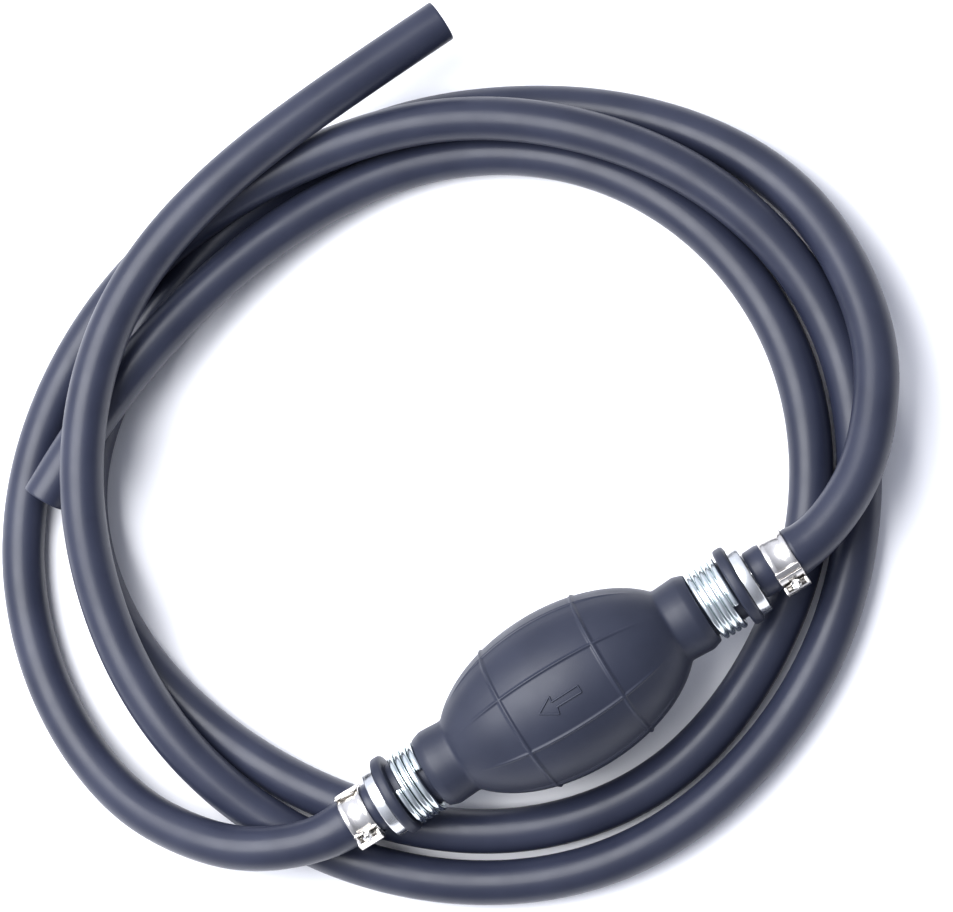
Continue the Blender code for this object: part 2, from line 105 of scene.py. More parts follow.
# Each hose's route from its cuff to its free end: x, y, z of its middle line, as the part has it.
HOSE_ROUTES = {
    "inlet": [
        (0.085, 0, 0.026), (0.0988, 0.0035, 0.0258), (0.1126, 0.0114, 0.0244), (0.1252, 0.0243, 0.0224),
        (0.1349, 0.0396, 0.0202), (0.1414, 0.0614, 0.017), (0.1403, 0.1021, 0.0104),
        (0.1155, 0.1464, 0.0072), (0.0766, 0.1772, 0.0072), (0.0296, 0.1947, 0.0072),
        (-0.0206, 0.1928, 0.0072), (-0.068, 0.1758, 0.0072), (-0.1053, 0.144, 0.0072),
        (-0.1176, 0.0957, 0.0072), (-0.1058, 0.0473, 0.0072), (-0.0788, 0.005, 0.0072),
        (-0.0396, -0.0259, 0.0072), (0.0093, -0.036, 0.0072), (0.0552, -0.0211, 0.0072),
        (0.0924, 0.0111, 0.0072), (0.1127, 0.0546, 0.0072), (0.1114, 0.1043, 0.0072),
        (0.0883, 0.1472, 0.0072), (0.0468, 0.175, 0.008), (-0.0031, 0.1809, 0.0125),
        (-0.0521, 0.1716, 0.0183), (-0.0974, 0.1532, 0.0219), (-0.1168, 0.1436, 0.0208),
    ],
    "outlet": [
        (-0.085, 0, 0.026), (-0.1002, 0.0037, 0.0258), (-0.1146, 0.0116, 0.0239),
        (-0.1281, 0.0247, 0.02), (-0.1387, 0.0404, 0.0156), (-0.1463, 0.0626, 0.011),
        (-0.1463, 0.104, 0.0075), (-0.1262, 0.1492, 0.0074), (-0.087, 0.181, 0.0127),
        (-0.0401, 0.195, 0.0198), (0.0083, 0.1944, 0.0216), (0.0554, 0.1814, 0.0209),
        (0.0964, 0.1501, 0.0198), (0.1223, 0.1081, 0.0164), (0.1287, 0.0595, 0.0089),
        (0.1123, 0.0139, 0.0072), (0.0791, -0.0244, 0.0072), (0.0344, -0.0469, 0.0072),
        (-0.0147, -0.0505, 0.0072), (-0.0623, -0.0311, 0.0072), (-0.0975, 0.004, 0.0098),
        (-0.1161, 0.0494, 0.0192), (-0.1151, 0.0998, 0.0265), (-0.0956, 0.1439, 0.0356),
        (-0.0603, 0.1798, 0.0366), (-0.013, 0.1972, 0.0364), (0.0359, 0.2036, 0.032),
        (0.075, 0.2065, 0.0275),
    ],
}

# The bulb's belly, and the ribs that stand out of it. The lengthwise ribs fade out between the two
# distances from the bulb's middle.
BELLY_RADIUS = 26 * MM
BELLY_HALF_LENGTH = 43.5 * MM
RING_RIB_X = 16.5 * MM
RING_RIB_HEIGHT = 0.55 * MM
RING_RIB_HALF_WIDTH = 0.8 * MM
LONG_RIB_HEIGHT = 0.5 * MM
LONG_RIB_HALF_WIDTH = 0.62 * MM
RIB_COUNT = 8
FIRST_RIB = math.radians(34)
RIB_FADE = (18 * MM, 33 * MM)

# Where the mesh has a line of points across a rib, in half widths of the rib.
RIB_STEPS = (-1, -0.7, -0.4, 0, 0.4, 0.7, 1)

# The bulb's outline beyond its belly, in mm: x from its middle, then radius.
COLLAR_OUTLINE = [
    (37, 13.68), (37.6, 13.07), (38, 12.7), (38.35, 12.5), (38.8, 12.4), (39.6, 12.4), (42, 12.55),
    (45.6, 12.75), (46.2, 12.68), (46.8, 12.5), (48.8, 11.8), (49.1, 11.5), (49.2, 11), (49.25, 9.9),
]
NECK_OUTLINE = [(49.8, 9.7), (55, 9.7), (60.2, 9.7)]
LIP_OUTLINE = [
    (60.4, 10.4), (60.45, 12.3), (60.6, 12.75), (61, 13.05), (61.5, 13.15), (63, 13.15), (63.5, 13),
    (63.85, 12.6), (64, 12), (63.95, 9), (63.9, 7.05),
]

# The flow arrow, its corners in mm: x, then distance round the belly from the arrow's middle line.
ARROW_ANGLE = math.radians(12)
ARROW_RADIUS = 0.33 * MM
ARROW_CORNERS = [
    (6.6, -1.2), (6.6, 1.1), (-2, 1.1), (-2.5, 3.3), (-7.7, 0.2), (-2.4, -2.8), (-2.6, -1), (6.6, -1.2),
]

# The coil clamps.
WIRE_RADIUS = 1.05 * MM
COIL_RADIUS = 11.1 * MM
COIL_OUTER_X = 59.2 * MM
COIL_LENGTH = 9.1 * MM
COIL_SWEEPS = {
    "inlet": (math.radians(32), math.radians(-1530)),
    "outlet": (math.radians(5), math.radians(1434)),
}

# The valve springs. Their wire's ends lie inside the ends of the CAD springs by the inset.
SPRING_RADIUS = 2.4 * MM
SPRING_TURNS = 4.5
SPRING_WIRE_RADIUS = 0.28 * MM
SPRING_INSET = 0.3 * MM

# The valve body in mm, over the plug, flange and barb and back inside: x from the bulb's middle, then
# radius.
FITTING_OUTLINE = [
    (46, 5.2), (46, 6.7), (46.3, 7), (64.1, 7), (64.1, 11.5), (64.25, 11.65), (65.7, 11.75),
    (67.2, 11.65), (67.45, 11.55), (67.6, 11.3), (67.6, 4.4), (71.5, 4.4), (71.5, 4.8), (75.7, 4.4),
    (75.7, 4.8), (79.9, 4.4), (79.9, 4.8), (84.2, 4.4), (84.2, 3), (60, 3), (60, 5.2),
]

# The worm drive clamps' bands, half of their section in mm: x from the band's middle, then radius.
BAND_HALF_OUTLINE = [
    (2.1, 8.25), (2.35, 8.45), (2.7, 8.55), (3.5, 8.55), (3.85, 8.47), (4.02, 8.25), (4, 7.95),
]

# Each band's free tail, its arc in degrees. Its first or its last end is lifted off the band, more and
# more along the lift's arc. Its rows of points across the band and its slots' half width are in mm. Its
# slots take up a share of their pitch, and slant by a share of it from the middle to the edge.
TAIL_ARC = {"inlet": (110, 215), "outlet": (-165, -47)}
TAIL_LIFTED_END = {"inlet": 0, "outlet": -1}
TAIL_LIFT = 0.7 * MM
TAIL_LIFT_ARC = math.radians(35)
TAIL_RADIUS = 8.85 * MM
TAIL_THICKNESS = 0.45 * MM
TAIL_ROWS = (-4, -3.6, -2.5, -1.2, 0, 1.2, 2.5, 3.6, 4)
SLOT_PITCH = 1.9 * MM
SLOT_SHARE = 0.42
SLOT_SLANT = 0.35
SLOT_HALF_WIDTH = 2.5

# The clamps' housings, their sections in mm: along the screw towards its head, then outwards from the
# hose's axis.
HOUSING_ANGLE = {"inlet": math.radians(84), "outlet": math.radians(65)}
HOUSING_OUTLINE = [(-2.8, 8.75), (2.8, 8.75), (2.8, 11.4), (0, 11.4), (-2.8, 9.5)]
HOUSING_HALF_WIDTH = 4.1
POCKET_OUTLINE = [(1.6, 9.05), (3.2, 9.05), (3.2, 11.05), (1.6, 11.05)]
POCKET_HALF_WIDTH = 2.9

# The saddle's folds over the band: their arcs in degrees, and their section across the band in mm.
SADDLE_FOLDS = {"inlet": [(28.6, 40.7), (43.6, 59.5)], "outlet": [(40.5, 45)]}
FOLD_OUTLINE = [(-4.15, 8.4), (-4.15, 8.95), (-3.95, 9.15), (3.95, 9.15), (4.15, 8.95), (4.15, 8.4)]

# The clamp screws, in mm. A run is from a start to an end along the screw, from the housing's middle.
SCREW_AXIS_RADIUS = 10
WORM_RADIUS = 0.9
WORM_RUN = (-0.4, 3)
HEAD_RADIUS = 1.75
HEAD_RUN = (2.95, 4.5)
RECESS_RUN = (3.7, 6)
RECESS_LONG = 1.25
RECESS_SHORT = 0.3

# The studio: a key light, and a room that goes from dim to bright over a range of the dot product of a
# direction with the bright side's.
KEY_PLACE = (-0.26, 0.27, 0.75)
KEY_AIM = (0, 0.08, 0)
KEY_SIZE = 0.7
KEY_WATTS = 14
KEY_COLOR = (0.97, 0.98, 1)
BRIGHT_SIDE = (-0.45, 0.72, 0.53)
ROOM_COLOR = (0.82, 0.86, 1, 1)
ROOM_DIM = 0.36
ROOM_BRIGHT = 1.25
ROOM_RANGE = (-0.3, 0.9)
FLOOR_COLOR = (0.9, 0.9, 0.92, 1)
FLOOR_HALF_SIZE = 4


# Mesh helpers


def piece(name, shape, look, smooth=True):
    """Makes an object of a bmesh."""
    bmesh.ops.recalc_face_normals(shape, faces=shape.faces)
    mesh = bpy.data.meshes.new(name)
    shape.to_mesh(mesh)
    shape.free()
    mesh.materials.append(look)
    if smooth:
        mesh.shade_smooth()
    made = bpy.data.objects.new(name, mesh)
    bpy.context.scene.collection.objects.link(made)
    return made


def stand_for(made, body, slot, *nodes):
    """The piece rides on the body and stands for the CAD nodes, if it is given any."""
    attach(made, body)
    if nodes:
        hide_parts(*nodes)


def arc_point(x, angle, radius):
    """A point round the bulb's axis. Angles run from +Z towards -Y."""
    return (x, -radius * math.sin(angle), AXIS_Z + radius * math.cos(angle))


def ring_size(ring):
    return float(np.linalg.norm(np.asarray(ring[0]) - np.mean(ring, axis=0)))


def ring_gap(ring, after):
    """How far it is from ring to ring, along the skin."""
    apart = np.linalg.norm(np.mean(after, axis=0) - np.mean(ring, axis=0))
    return float(apart + abs(ring_size(after) - ring_size(ring)))


def skin(shape, rings, closed=False):
    """Faces between neighbouring rings of points, with UVs in metres: round the ring, then along."""
    uv = shape.loops.layers.uv.verify()
    made = [[shape.verts.new(point) for point in ring] for ring in rings]
    along = np.concatenate([[0], np.cumsum([ring_gap(a, b) for a, b in zip(rings, rings[1:])])])
    following = list(range(1, len(rings))) + ([0] if closed else [])
    for i, j in enumerate(following):
        around = math.tau * ring_size(rings[i]) / len(rings[i])
        for k in range(len(made[i])):
            beside = (k + 1) % len(made[i])
            face = shape.faces.new([made[i][k], made[i][beside], made[j][beside], made[j][k]])
            places = [(k, i), (k + 1, i), (k + 1, i + 1), (k, i + 1)]
            for loop, (step, row) in zip(face.loops, places):
                loop[uv].uv = (step * around, along[min(row, len(along) - 1)])
    return made


def cap(shape, ring, centre):
    """Closes a ring with a fan."""
    tip = shape.verts.new(centre)
    for k, vert in enumerate(ring):
        shape.faces.new([vert, ring[(k + 1) % len(ring)], tip])


def capped_skin(shape, rings):
    """A skin over the rings, with both its ends closed."""
    made = skin(shape, rings)
    for end in (0, -1):
        cap(shape, made[end], np.mean(rings[end], axis=0))


def lathe(name, outline, look, sides, sharp):
    """Turns a closed outline of (x, radius) points round the bulb's axis. Edges over sharp degrees stay."""
    angles = [math.tau * side / sides for side in range(sides)]
    rings = [[arc_point(x, angle, radius) for angle in angles] for x, radius in outline]
    shape = bmesh.new()
    skin(shape, rings, closed=True)
    made = piece(name, shape, look)
    made.data.set_sharp_from_angle(angle=math.radians(sharp))
    return made


def frames(points):
    """The direction and two normals at each point of a path, turning as little as they can."""
    ahead = np.gradient(points, axis=0)
    ahead /= np.linalg.norm(ahead, axis=1)[:, None]
    nearly_up = (0, 0.02, 1)
    normal = np.cross(ahead[0], nearly_up)
    normals = []
    for direction in ahead:
        normal = normal - direction * (normal @ direction)
        normal /= np.linalg.norm(normal)
        normals.append(normal)
    normals = np.array(normals)
    return ahead, normals, np.cross(ahead, normals)


def ring_at(point, first, second, radius, sides):
    """A circle of points in the plane of two normals."""
    angles = np.arange(sides) * math.tau / sides
    return point + radius * (np.cos(angles)[:, None] * first + np.sin(angles)[:, None] * second)


def smooth_route(points, spacing):
    """Evenly spaced points on the natural cubic spline through the route, kept off the ground."""
    route = np.array(points, float)
    knots = np.concatenate([[0], np.cumsum(np.linalg.norm(np.diff(route, axis=0), axis=1))])
    steps = np.diff(knots)
    count = len(route)
    system = np.eye(count)
    right = np.zeros((count, 3))
    for i in range(1, count - 1):
        system[i, i - 1:i + 2] = steps[i - 1], 2 * (steps[i - 1] + steps[i]), steps[i]
        right[i] = 6 * ((route[i + 1] - route[i]) / steps[i] - (route[i] - route[i - 1]) / steps[i - 1])
    bend = np.linalg.solve(system, right)
    along = np.linspace(0, knots[-1], round(knots[-1] / spacing) + 1)
    i = np.clip(np.searchsorted(knots, along, side="right") - 1, 0, count - 2)
    step = steps[i][:, None]
    before = (knots[i + 1] - along)[:, None] / step
    after = 1 - before
    smooth = before * route[i] + after * route[i + 1]
    smooth += ((before**3 - before) * bend[i] + (after**3 - after) * bend[i + 1]) * step**2 / 6
    smooth[:, 2] = np.maximum(smooth[:, 2], HOSE_RADIUS + 0.1 * MM)
    return smooth


# Materials


def shader_of(name):
    """A new material, its nodes, its links and its Principled shader."""
    made = bpy.data.materials.new(name)
    made.use_nodes = True
    return made, made.node_tree.nodes, made.node_tree.links, made.node_tree.nodes["Principled BSDF"]


def noise(nodes, links, scale, detail, stretch=None, source="Object"):
    """A noise texture's factor, in object or UV space, squeezed by a factor on each axis. Its cells are
    about 1 m across, over the scale and the factors."""
    place = nodes.new("ShaderNodeTexCoord").outputs[source]
    if stretch:
        mapping = nodes.new("ShaderNodeMapping")
        mapping.inputs["Scale"].default_value = stretch
        links.new(place, mapping.inputs["Vector"])
        place = mapping.outputs["Vector"]
    texture = nodes.new("ShaderNodeTexNoise")
    texture.inputs["Scale"].default_value = scale
    texture.inputs["Detail"].default_value = detail
    links.new(place, texture.inputs["Vector"])
    return texture.outputs["Fac"]


def ramp(nodes, links, factor, low, high, from_low=0.3, from_high=0.7):
    """Maps a factor to a range of numbers."""
    made = nodes.new("ShaderNodeMapRange")
    made.inputs["From Min"].default_value = from_low
    made.inputs["From Max"].default_value = from_high
    made.inputs["To Min"].default_value = low
    made.inputs["To Max"].default_value = high
    links.new(factor, made.inputs["Value"])
    return made.outputs["Result"]


def blend_colors(nodes, links, factor, first, second):
    """Goes from the first colour to the second with the factor. The Mix node's sockets for numbers,
    vectors and colours share their names, so they are given by number."""
    made = nodes.new("ShaderNodeMix")
    made.data_type = "RGBA"
    made.inputs[6].default_value = (*first, 1)
    made.inputs[7].default_value = (*second, 1)
    links.new(factor, made.inputs[0])
    return made.outputs[2]


def bump(nodes, links, height, distance, strength, under=None):
    """The normal of a bumpy surface, on top of another bump if one is given."""
    made = nodes.new("ShaderNodeBump")
    made.inputs["Distance"].default_value = distance
    made.inputs["Strength"].default_value = strength
    links.new(height, made.inputs["Height"])
    if under:
        links.new(under, made.inputs["Normal"])
    return made.outputs["Normal"]


def rubber(name, color, roughness, extruded):
    """Dark moulded or extruded rubber, a little dusty and uneven."""
    made, nodes, links, shader = shader_of(name)
    cloudy = ramp(nodes, links, noise(nodes, links, scale=45, detail=4), 0, 1)
    pale = tuple(c * 1.25 + 0.004 for c in color)
    links.new(blend_colors(nodes, links, cloudy, color, pale), shader.inputs["Base Color"])
    patchy = noise(nodes, links, scale=120, detail=5)
    links.new(ramp(nodes, links, patchy, roughness - 0.04, roughness + 0.04), shader.inputs["Roughness"])
    fine = noise(nodes, links, scale=2200, detail=2)
    normal = bump(nodes, links, fine, distance=0.05 * MM, strength=0.35)
    if extruded:
        streaks = noise(nodes, links, scale=1, detail=3, stretch=(900, 12, 1), source="UV")
        normal = bump(nodes, links, streaks, distance=0.06 * MM, strength=0.3, under=normal)
    links.new(normal, shader.inputs["Normal"])
    shader.inputs["Specular IOR Level"].default_value = 0.34
    return made


def metal(name, color, roughness, grain, source="Object"):
    """Plated or rolled metal whose drawing lines follow the grain's stretch."""
    made, nodes, links, shader = shader_of(name)
    shader.inputs["Metallic"].default_value = 1
    tint = tuple(c * 0.86 for c in color)
    mottled = ramp(nodes, links, noise(nodes, links, scale=260, detail=4), 0, 1)
    links.new(blend_colors(nodes, links, mottled, color, tint), shader.inputs["Base Color"])
    lines = noise(nodes, links, scale=1, detail=4, stretch=grain, source=source)
    links.new(ramp(nodes, links, lines, roughness - 0.04, roughness + 0.06), shader.inputs["Roughness"])
    links.new(bump(nodes, links, lines, distance=0.004 * MM, strength=0.5), shader.inputs["Normal"])
    return made


def plastic(name, color, roughness):
    """Moulded plastic or seal rubber, slightly cloudy and finely grained."""
    made, nodes, links, shader = shader_of(name)
    cloudy = ramp(nodes, links, noise(nodes, links, scale=300, detail=3), 0, 1)
    tint = tuple(c * 0.92 for c in color)
    links.new(blend_colors(nodes, links, cloudy, color, tint), shader.inputs["Base Color"])
    shader.inputs["Roughness"].default_value = roughness
    fine = noise(nodes, links, scale=3000, detail=2)
    links.new(bump(nodes, links, fine, distance=0.02 * MM, strength=0.3), shader.inputs["Normal"])
    return made


HOSE_RUBBER = rubber("hose_rubber", (0.0165, 0.0195, 0.0365), 0.37, extruded=True)
BULB_RUBBER = rubber("bulb_rubber", (0.0155, 0.0185, 0.033), 0.46, extruded=False)
ZINC = metal("zinc_wire", (0.84, 0.9, 0.9), 0.18, (900, 30, 1), "UV")
NICKEL = metal("nickel_fitting", (0.86, 0.87, 0.86), 0.2, (900, 150, 150))
STAINLESS = metal("stainless_band", (0.82, 0.79, 0.75), 0.22, (1200, 90, 90))
SCREW_STEEL = metal("screw_steel", (0.85, 0.83, 0.8), 0.26, (900, 900, 900))
SPRING_STEEL = metal("spring_steel", (0.6, 0.6, 0.6), 0.3, (1500, 1500, 1500))
SEAL = plastic("seal_rubber", (0.02, 0.02, 0.02), 0.55)
VALVE_PLASTIC = plastic("valve_plastic", (0.75, 0.75, 0.7), 0.4)


# Camera


def make_camera():
    data = bpy.data.cameras.new("camera")
    data.lens = CAMERA_LENS
    data.sensor_width = SENSOR_WIDTH
    data.clip_start = 0.01
    made = bpy.data.objects.new("camera", data)
    made.location = CAMERA_PLACE
    made.rotation_euler = [math.radians(turn) for turn in CAMERA_TURN]
    bpy.context.scene.collection.objects.link(made)
    bpy.context.scene.camera = made


# The hoses


def hose_stations(end, length):
    """Where along the hose each ring stands, and its radius: outside to the cut end, then back inside."""
    swell = np.array(BARB_SWELL[end]) * MM
    near = list(np.arange(0, SWELL_LENGTH, SWELL_STEP)) + list(swell[:, 0])
    far = list(np.linspace(SWELL_LENGTH + 2 * MM, length - 1 * MM, round(length / HOSE_STEP)))
    outside = sorted(set(near + far + [length - 0.35 * MM]))
    stations = [(s, float(np.interp(s, swell[:, 0], swell[:, 1]))) for s in outside]
    lip = [(length - 0.1 * MM, HOSE_RADIUS - 0.12 * MM), (length, HOSE_RADIUS - 0.4 * MM),
           (length, HOSE_BORE_RADIUS + 0.25 * MM), (length - 0.25 * MM, HOSE_BORE_RADIUS)]
    inside = [(length - back * MM, HOSE_BORE_RADIUS) for back in (3, 10, 20, 30)]
    return stations + lip + inside + [(length - HOSE_BORE_DEPTH, HOSE_BORE_RADIUS)]


def hose_ring(s, radius, along, path, directions, normals):
    """A ring of points square to the path, at the distance s along it."""
    point, ahead, first = (np.array([np.interp(s, along, rows[:, i]) for i in range(3)])
                           for rows in (path, directions, normals))
    first = first - ahead * (first @ ahead) / (ahead @ ahead)
    first /= np.linalg.norm(first)
    second = np.cross(ahead / np.linalg.norm(ahead), first)
    return ring_at(point, first, second, radius, HOSE_SIDES)


def make_hose(end):
    """One hose, from the flange over the barb to its open cut end."""
    over_barb = [(SIDES[end] * x, 0, AXIS_Z) for x in HOSE_START_X]
    path = smooth_route(over_barb + HOSE_ROUTES[end], HOSE_PATH_STEP)
    along = np.concatenate([[0], np.cumsum(np.linalg.norm(np.diff(path, axis=0), axis=1))])
    length = along[-1]
    directions, normals, _ = frames(path)
    shape = bmesh.new()
    capped_skin(shape, [hose_ring(s, radius, along, path, directions, normals)
                        for s, radius in hose_stations(end, length)])
    hose = piece(f"{end}_hose_tube", shape, HOSE_RUBBER)
    hose.data.set_sharp_from_angle(angle=math.radians(40))
    stand_for(hose, "pump", "rubber", f"{end}_hose", f"{end}_hose_cuff")


# The bulb


def bump_shape(distance, half_width):
    """A rounded ridge: 1 on its line, 0 beyond its half width."""
    share = min(1, abs(distance) / half_width)
    return (1 - share**2) ** 1.5


def belly_radius(x):
    return BELLY_RADIUS * math.sqrt(1 - (x / BELLY_HALF_LENGTH) ** 2)


def bulb_profile():
    """(x, radius) from the middle of the bulb to its end face."""
    near_rib = [RING_RIB_X + step * RING_RIB_HALF_WIDTH for step in (-1.6, *RIB_STEPS, 1.6)]
    plain = [x * MM for x in (0, 2, 4, 6, 8, 10, 12, 14, 19, 21, 23, 25, 27, 29, 31, 33, 34.5, 36)]
    belly = [(x, belly_radius(x)) for x in sorted(near_rib + plain)]
    return belly + [(x * MM, radius * MM) for x, radius in COLLAR_OUTLINE + NECK_OUTLINE + LIP_OUTLINE]


def bulb_angles():
    """Angles round the bulb, close together at each lengthwise rib."""
    width = LONG_RIB_HALF_WIDTH / BELLY_RADIUS
    foot = 1.7 * width
    gap = math.tau / RIB_COUNT
    on_rib = [-foot, *(step * width for step in RIB_STEPS), foot]
    between = [foot + (gap - 2 * foot) * share / 6 for share in range(1, 6)]
    ribs = [FIRST_RIB + gap * rib for rib in range(RIB_COUNT)]
    return sorted((rib + offset) % math.tau for rib in ribs for offset in on_rib + between)


def rib_lift(x, angle):
    """How far the ribs stand out of the belly at a point."""
    if abs(x) > RIB_FADE[1]:
        return 0
    ring = RING_RIB_HEIGHT * bump_shape(abs(x) - RING_RIB_X, RING_RIB_HALF_WIDTH)
    turn = (angle - FIRST_RIB + math.pi / RIB_COUNT) % (math.tau / RIB_COUNT) - math.pi / RIB_COUNT
    fade = min(1, (RIB_FADE[1] - abs(x)) / (RIB_FADE[1] - RIB_FADE[0]))
    lengthwise = LONG_RIB_HEIGHT * fade * bump_shape(turn * belly_radius(x), LONG_RIB_HALF_WIDTH)
    return max(ring, lengthwise)


def on_belly(x, around):
    """A point on the belly, around being the distance from the arrow's middle line."""
    radius = belly_radius(x)
    return arc_point(x, ARROW_ANGLE + around / radius, radius)


def add_arrow(shape):
    """A flow arrow in outline, a fine raised line on the belly."""
    for start, end in zip(ARROW_CORNERS, ARROW_CORNERS[1:]):
        points = np.array([on_belly(x * MM, around * MM) for x, around in np.linspace(start, end, 8)])
        _, first, second = frames(points)
        capped_skin(shape, [ring_at(p, f, s, ARROW_RADIUS, 10) for p, f, s in zip(points, first, second)])


def make_bulb():
    """The bulb in one piece."""
    half = bulb_profile()
    profile = [(-x, radius) for x, radius in reversed(half[1:])] + half
    angles = bulb_angles()
    rings = [[arc_point(x, angle, radius + rib_lift(x, angle)) for angle in angles] for x, radius in profile]
    shape = bmesh.new()
    skin(shape, rings)
    add_arrow(shape)
    bulb = piece("bulb", shape, BULB_RUBBER)
    bulb.data.set_sharp_from_angle(angle=math.radians(60))
    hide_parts("squeeze_bulb", "bulb_crown")
    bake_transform(bulb)


# The coil clamps and the springs


def helix(radius, first_angle, last_angle, start_x, end_x, per_turn):
    """Points along a coil round the bulb's axis."""
    count = round(abs(last_angle - first_angle) / math.tau * per_turn)
    share = np.linspace(0, 1, count + 1)
    angle = first_angle + share * (last_angle - first_angle)
    x = start_x + share * (end_x - start_x)
    return np.stack([x, -radius * np.sin(angle), AXIS_Z + radius * np.cos(angle)], axis=1)


def wire(name, points, radius, look, sides):
    """A wire along the points, its cut ends slightly rounded."""
    ahead, first, second = frames(points)
    rings = [ring_at(p, f, s, radius, sides) for p, f, s in zip(points, first, second)]
    rims = [ring_at(points[end] + ahead[end] * sign * 0.15 * radius, first[end], second[end],
                    0.86 * radius, sides) for end, sign in ((0, -1), (-1, 1))]
    shape = bmesh.new()
    capped_skin(shape, [rims[0], *rings, rims[1]])
    made = piece(name, shape, look)
    made.data.set_sharp_from_angle(angle=math.radians(50))
    return made


def make_coil_clamps():
    """A wire wound on each neck, from its lip towards its collar."""
    for end, side in SIDES.items():
        first, last = COIL_SWEEPS[end]
        outer, inner = side * COIL_OUTER_X, side * (COIL_OUTER_X - COIL_LENGTH)
        points = helix(COIL_RADIUS, first, last, outer, inner, per_turn=56)
        coil = wire(f"{end}_coil", points, WIRE_RADIUS, ZINC, sides=16)
        stand_for(coil, "pump", "zinc_wire", f"{end}_coil_clamp")


def make_springs():
    """The valve springs."""
    for end in SIDES:
        low, high = (corner[0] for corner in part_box(f"{end}_valve_spring"))
        turns = SPRING_TURNS * math.tau
        points = helix(SPRING_RADIUS, 0, turns, high - SPRING_INSET, low + SPRING_INSET, per_turn=24)
        spring = wire(f"{end}_spring", points, SPRING_WIRE_RADIUS, SPRING_STEEL, sides=8)
        stand_for(spring, "pump", "spring_steel", f"{end}_valve_spring")
        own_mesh(spring)


# The valve bodies


def make_fittings():
    """The plug, the polished flange ring and the barb."""
    for end, side in SIDES.items():
        outline = [(side * x * MM, radius * MM) for x, radius in FITTING_OUTLINE]
        made = lathe(f"{end}_fitting", outline, NICKEL, sides=72, sharp=40)
        stand_for(made, "pump", "plated_fitting", f"{end}_valve_body")


def dress_valve_insides():
    """The seats, poppets and retainers keep their CAD shape, in better materials."""
    looks = {"valve_seat": SEAL, "valve_poppet": VALVE_PLASTIC, "valve_retainer": VALVE_PLASTIC}
    for end in SIDES:
        for node, look in looks.items():
            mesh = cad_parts[f"{end}_{node}"].data
            mesh.materials.clear()
            mesh.materials.append(look)


# The worm drive clamps


def round_edges(made, width, segments, least_angle):
    """Rounds each edge that turns by more than the angle, in degrees."""
    edge = made.modifiers.new("edges", "BEVEL")
    edge.width = width
    edge.segments = segments
    edge.angle_limit = math.radians(least_angle)


def tail_angles(degrees, pitch):
    """The angles along the tail: its start, each slot's edge, middle and edge, and its end."""
    start, end = (math.radians(value) for value in degrees)
    count = int((end - start - 0.4 * pitch) / pitch)
    angles = [start]
    for number in range(count - 1):
        low = start + 0.9 * pitch + number * pitch
        angles += [low, low + SLOT_SHARE * pitch / 2, low + SLOT_SHARE * pitch]
    return angles + [end]


def tail_row(shape, x, angles, lean, lifted_end):
    """A row of vertices round the hose, leaning to one side between the tail's ends."""
    made = []
    for k, angle in enumerate(angles):
        moved = angle + (lean if 0 < k < len(angles) - 1 else 0)
        near_end = max(0, 1 - abs(angle - angles[lifted_end]) / TAIL_LIFT_ARC)
        made.append(shape.verts.new(arc_point(x, moved, TAIL_RADIUS + TAIL_LIFT * near_end**2)))
    return made


def make_band_tail(end):
    """The band's free tail: a strip round the hose with a row of slanted slots punched through it."""
    centre_x = middle(f"{end}_clamp_band", 0)
    pitch = SLOT_PITCH / TAIL_RADIUS
    angles = tail_angles(TAIL_ARC[end], pitch)
    shape = bmesh.new()
    verts = [tail_row(shape, centre_x + row * MM, angles, SLOT_SLANT * pitch * row / TAIL_ROWS[-1],
                      TAIL_LIFTED_END[end]) for row in TAIL_ROWS]
    for j in range(len(TAIL_ROWS) - 1):
        across = abs(TAIL_ROWS[j] + TAIL_ROWS[j + 1]) / 2
        for k in range(len(angles) - 1):
            in_slot = (k - 1) % 3 < 2
            if in_slot and across < SLOT_HALF_WIDTH:
                continue
            shape.faces.new([verts[j][k], verts[j][k + 1], verts[j + 1][k + 1], verts[j + 1][k]])
    tail = piece(f"{end}_band_tail", shape, STAINLESS)
    solid = tail.modifiers.new("thickness", "SOLIDIFY")
    solid.thickness = TAIL_THICKNESS
    solid.offset = 0
    round_edges(tail, 0.06 * MM, 1, least_angle=50)
    stand_for(tail, "pump", "stainless")


def make_band(end):
    """The closed part of the band, with raised edges."""
    x = middle(f"{end}_clamp_band", 0)
    outline = [(-u, radius) for u, radius in reversed(BAND_HALF_OUTLINE)] + BAND_HALF_OUTLINE
    made = lathe(f"{end}_band", [(x + u * MM, r * MM) for u, r in outline], STAINLESS, sides=96, sharp=50)
    stand_for(made, "pump", "stainless", f"{end}_clamp_band")


def housing_frame(end):
    """The housing's frame: +Z points out of the hose, and +Y along the screw towards its head."""
    place = Matrix.Translation((middle(f"{end}_clamp_band", 0), 0, AXIS_Z))
    return place @ Matrix.Rotation(HOUSING_ANGLE[end], 4, "X")


def prism(name, outline, half_width, transform, look):
    """A shape of constant section: the outline's points are along the screw and outwards, in mm."""
    shape = bmesh.new()
    sides = [[shape.verts.new(Vector((x, y, z)) * MM) for y, z in outline] for x in (-half_width, half_width)]
    for side in sides:
        shape.faces.new(side)
    for k in range(len(outline)):
        beside = (k + 1) % len(outline)
        shape.faces.new([sides[0][k], sides[0][beside], sides[1][beside], sides[1][k]])
    shape.transform(transform)
    return piece(name, shape, look)


def crisp(made, width, segments=2):
    """Rounds the edges, and keeps the flat faces flat in the shading."""
    round_edges(made, width, segments, least_angle=30)
    weighted = made.modifiers.new("flat faces", "WEIGHTED_NORMAL")
    weighted.keep_sharp = True


